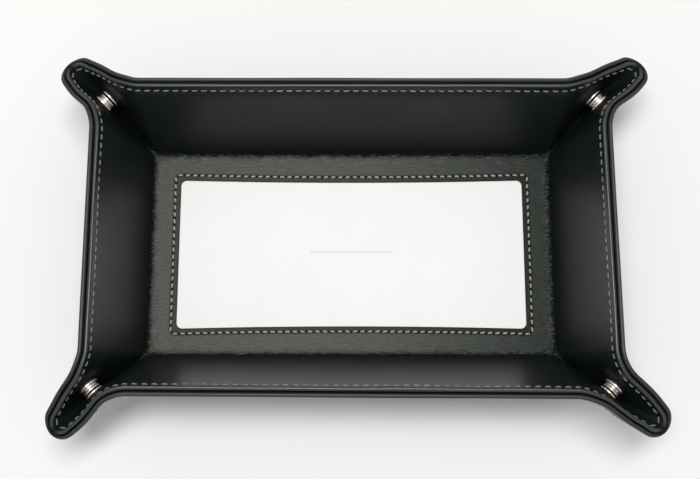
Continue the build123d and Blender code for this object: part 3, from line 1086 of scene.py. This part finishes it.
def thread_material(name, colours):
    """Pale polyester thread of twisted plies, with painted shade between them."""
    material, tree, shader = material_tree(name)
    place = attribute(tree, "ply")
    along, around, _ = parted(tree, place)
    twist = total(tree, product(tree, along, 5.0), product(tree, around, 3.0))
    strand = maths(tree, "ABSOLUTE", maths(tree, "SINE", product(tree, twist, pi)))
    # Painted shade between the plies: the colour darkens to grey where the twist's stripe falls to 0
    colour = mixed(tree, strand, fold_highlight_and_ply_shade, clouded(tree, noise(tree, place, 0.22), colours))
    fill(tree, shader, {"Base Color": colour, "Roughness": 0.6, "Normal": bumped(tree, strand, 0.12 * mm)})
    return material


def nickel_material():
    """Plated press studs with fine scratches and a warm bloom."""
    material, tree, shader = material_tree("bright_nickel")
    vector = object_vector(tree, 1 / mm)
    scratch = noise(tree, vector, 9, detail=2)
    fill(tree, shader, {
        "Base Color": clouded(tree, noise(tree, vector, 0.5), nickel_colours), "Metallic": 1,
        "Roughness": spread(tree, scratch, 0.26, 0.38), "Normal": bumped(tree, scratch, 0.01 * mm),
    })
    return material


def panel_material():
    """Matte white sheet under the window, with one fine plain line at its middle."""
    material, tree, shader = material_tree("white_panel")
    vector = object_vector(tree, 1 / mm)
    tooth = noise(tree, vector, 4)
    on_line = 1.0
    for place, middle, length in zip(parted(tree, object_vector(tree)), panel_line_place, panel_line):
        away = maths(tree, "ABSOLUTE", maths(tree, "SUBTRACT", place, middle))
        on_line = product(tree, maths(tree, "LESS_THAN", away, length / 2), on_line)
    colour = clouded(tree, noise(tree, vector, 0.03), panel_colours)
    fill(tree, shader, {
        "Base Color": mixed(tree, on_line, colour, panel_line_colour),
        "Roughness": spread(tree, tooth, 0.5, 0.6), "Normal": bumped(tree, tooth, 0.02 * mm),
    })
    return material


def board_material():
    """Grey-brown fibre board."""
    material, tree, shader = material_tree("fibre_board")
    fibre = noise(tree, object_vector(tree, 1 / mm), 1.6, detail=5, roughness=0.7, distortion=2)
    colour = clouded(tree, fibre, board_colours)
    fill(tree, shader, {"Base Color": colour, "Roughness": 0.85, "Normal": bumped(tree, fibre, 0.1 * mm)})
    return material


def dress(pieces, material):
    for piece in pieces:
        piece.data.materials.clear()
        piece.data.materials.append(material)


# Each floor pair's lighter colour is that of the painted sheen
lining_leather = leather(
    "lining_leather", wall=((0.004, 0.006, 0.006), (0.007, 0.009, 0.009)),
    floor=((0.009, 0.012, 0.009), (0.060, 0.064, 0.050)), painted_strip_shade=(0.006, 0.006, 0.003),
    rough_fold=0.46, rough_rim=0.32, rim_level=0.62,
)
cover_leather = leather(
    "cover_leather", wall=((0.010, 0.011, 0.011), (0.017, 0.017, 0.016)),
    floor=((0.014, 0.014, 0.014), (0.022, 0.022, 0.021)), painted_strip_shade=(0.014, 0.014, 0.014),
    rough_fold=0.45, rough_rim=0.38, rim_level=0.4,
)
rim_thread = thread_material("rim_thread", ((0.13, 0.14, 0.135), (0.40, 0.41, 0.37)))
window_thread = thread_material("window_thread", ((0.50, 0.50, 0.40), (0.66, 0.66, 0.54)))
dress(linings, lining_leather)
dress(covers, cover_leather)
dress(rim_threads, rim_thread)
dress([window_threads], window_thread)
dress(metal, nickel_material())
dress([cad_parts["window_panel"]], panel_material())
dress([piece for node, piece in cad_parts.items() if node.endswith("_board")], board_material())

# Pale floor, light and camera
corners = [(x * floor_reach, y * floor_reach, -floor_drop) for x, y in map(signs, range(4))]
floor = new_piece("pale_floor", corners, [(0, 1, 2, 3)])
floor_material, tree, shader = material_tree("pale_floor")
colour = clouded(tree, noise(tree, object_vector(tree), 1.5, detail=2), floor_colours)
fill(tree, shader, {"Base Color": colour, "Roughness": 0.7, "Specular IOR Level": 0.2})
dress([floor], floor_material)

lamp = bpy.data.lights.new("ceiling_light", "AREA")
lamp.shape = "RECTANGLE"
lamp.size, lamp.size_y = lamp_size
lamp.energy = lamp_power
holder = linked(bpy.data.objects.new("ceiling_light", lamp))
holder.location = lamp_place
holder.rotation_euler = (-Vector(lamp_place)).to_track_quat("-Z", "Y").to_euler()

world = bpy.data.worlds.new("studio")
bpy.context.scene.world = world
world.use_nodes = True
tree = world.node_tree
rays = add(tree, "LightPath", {})
seen = maths(tree, "MAXIMUM", rays["Is Camera Ray"], rays["Is Glossy Ray"])
seen = maths(tree, "MAXIMUM", seen, rays["Is Transmission Ray"])
strength = spread(tree, seen, world_light, 1.0, from_low=0, from_high=1)
fill(tree, tree.nodes["Background"], {"Color": (1, 1, 1, 1), "Strength": strength})

lens = bpy.data.cameras.new("camera")
lens.lens = camera_lens
lens.sensor_width = camera_sensor
camera = linked(bpy.data.objects.new("camera", lens))
turn = Matrix.Rotation(camera_pitch, 4, "X") @ Matrix.Rotation(camera_roll, 4, "Y")
camera.matrix_world = Matrix.Translation(camera_place) @ turn
bpy.context.scene.camera = camera
bpy.context.scene.view_settings.view_transform = "Standard"
